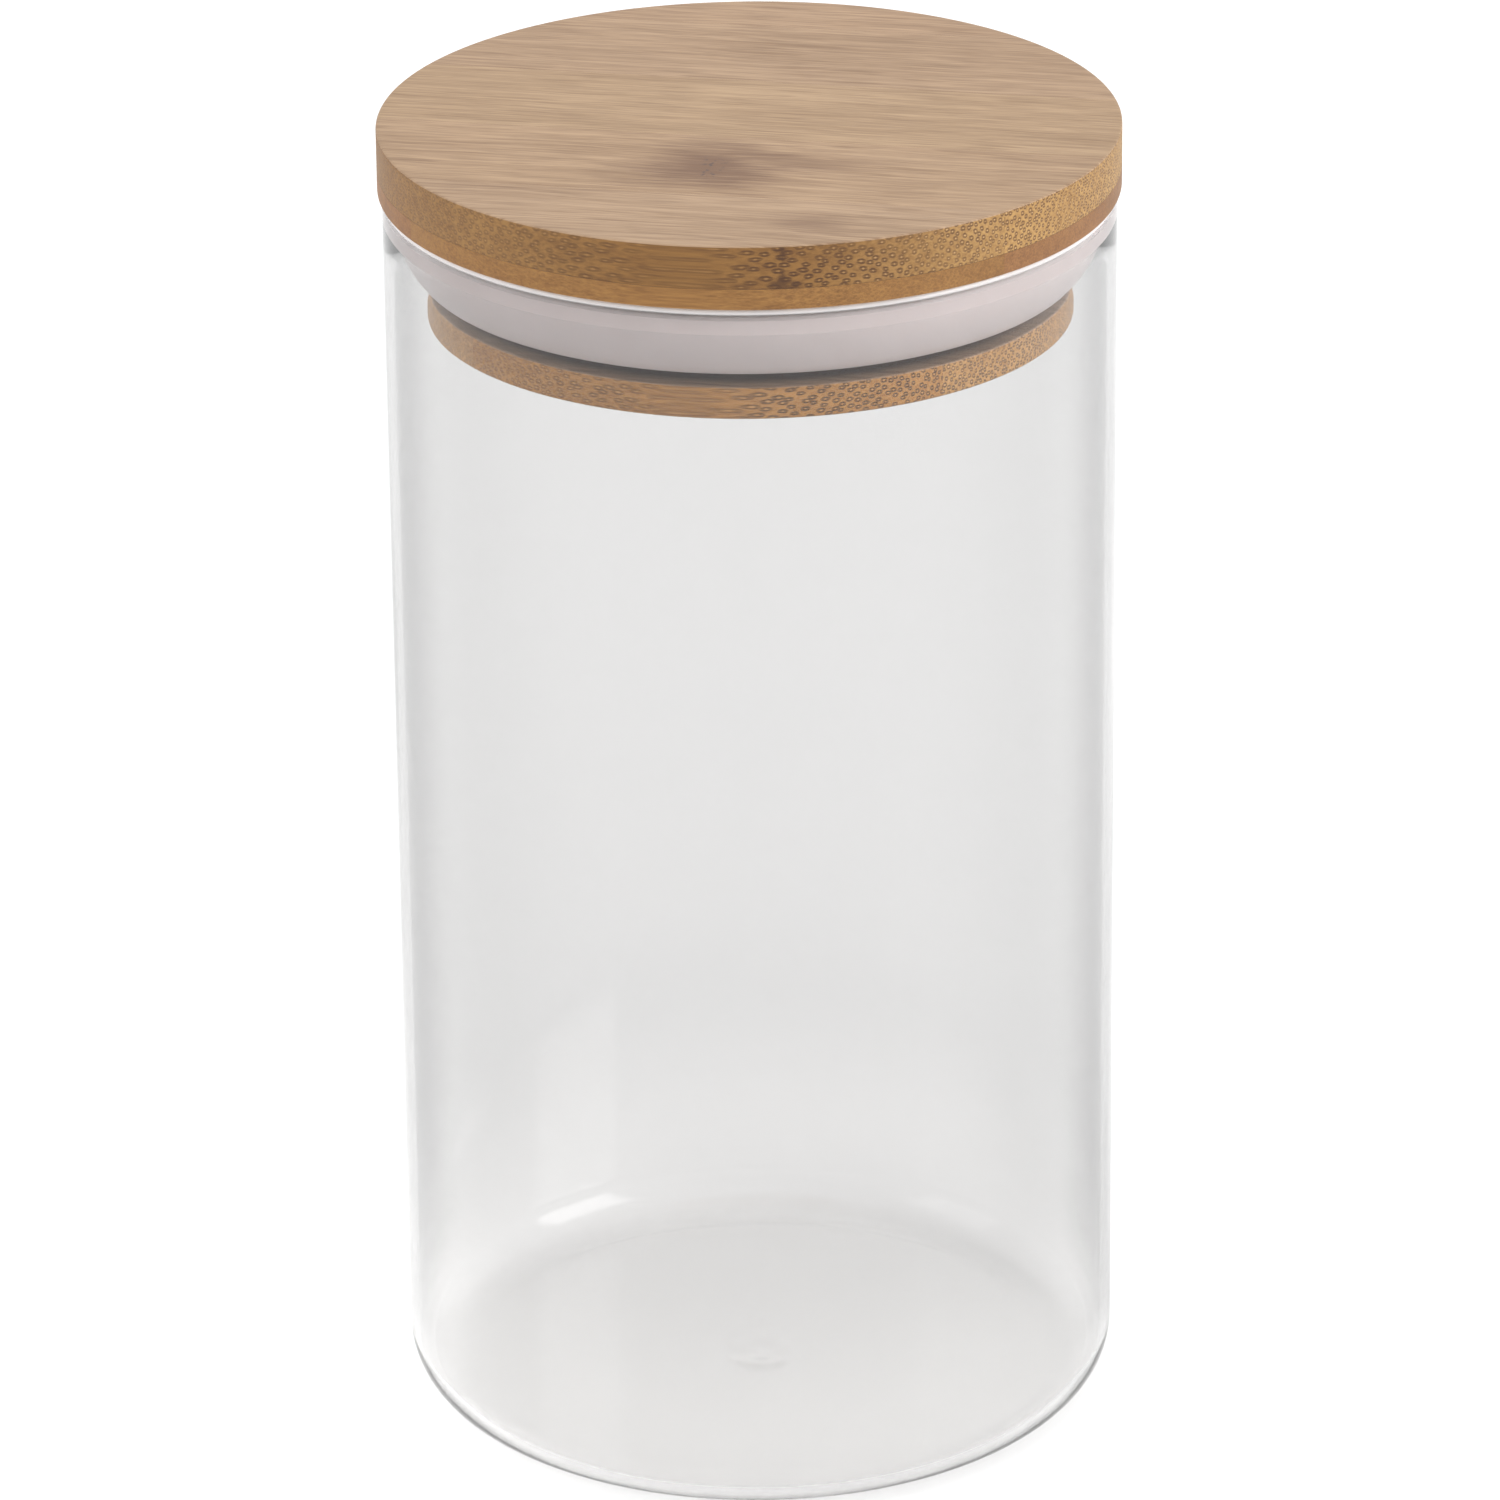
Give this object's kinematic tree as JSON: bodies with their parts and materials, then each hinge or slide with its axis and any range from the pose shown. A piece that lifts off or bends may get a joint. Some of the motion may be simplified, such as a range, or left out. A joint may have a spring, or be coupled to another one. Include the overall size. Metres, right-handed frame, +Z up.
{
  "type": "food canister",
  "caption": "Clear glass storage jar with a laminated bamboo push-in lid and a white silicone gasket that seals against the inside of the glass.",
  "frame": {"origin": "middle of the flat foot of the jar", "axes": "+Z up along the axis of the jar and lid; X and Y across it, -Y towards the front; the bamboo grain runs 11 degrees off +X, its +X end turned towards -Y"},
  "size_m": [0.1, 0.1, 0.1855],
  "materials": {
    "glass": "clear, smooth borosilicate glass with a fire-polished rim",
    "silicone": "translucent white food-grade silicone, satin",
    "bamboo": "laminated carbonised bamboo, sanded and lightly oiled, satin"
  },
  "bodies": {
    "jar": {"glass_jar": "glass"},
    "seal": {"silicone_gasket": "silicone"},
    "lid": {"top_ply_strip_1": "bamboo", "top_ply_strip_2": "bamboo", "top_ply_strip_3": "bamboo", "top_ply_strip_4": "bamboo", "top_ply_strip_5": "bamboo", "flange_ply_strip_1": "bamboo", "flange_ply_strip_2": "bamboo", "flange_ply_strip_3": "bamboo", "flange_ply_strip_4": "bamboo", "flange_ply_strip_5": "bamboo", "plug_ply_strip_1": "bamboo", "plug_ply_strip_2": "bamboo", "plug_ply_strip_3": "bamboo", "plug_ply_strip_4": "bamboo", "plug_ply_strip_5": "bamboo"}
  },
  "joints": [
    {"name": "lid_lift", "type": "slide", "parent": "jar", "child": "seal", "axis": [0, 0, 1], "range_m": [0, 0.06]},
    {"name": "lid_turn", "type": "hinge", "parent": "seal", "child": "lid", "pos_m": [0, 0, 0.1767], "axis": [0, 0, 1], "continuous": true}
  ]
}
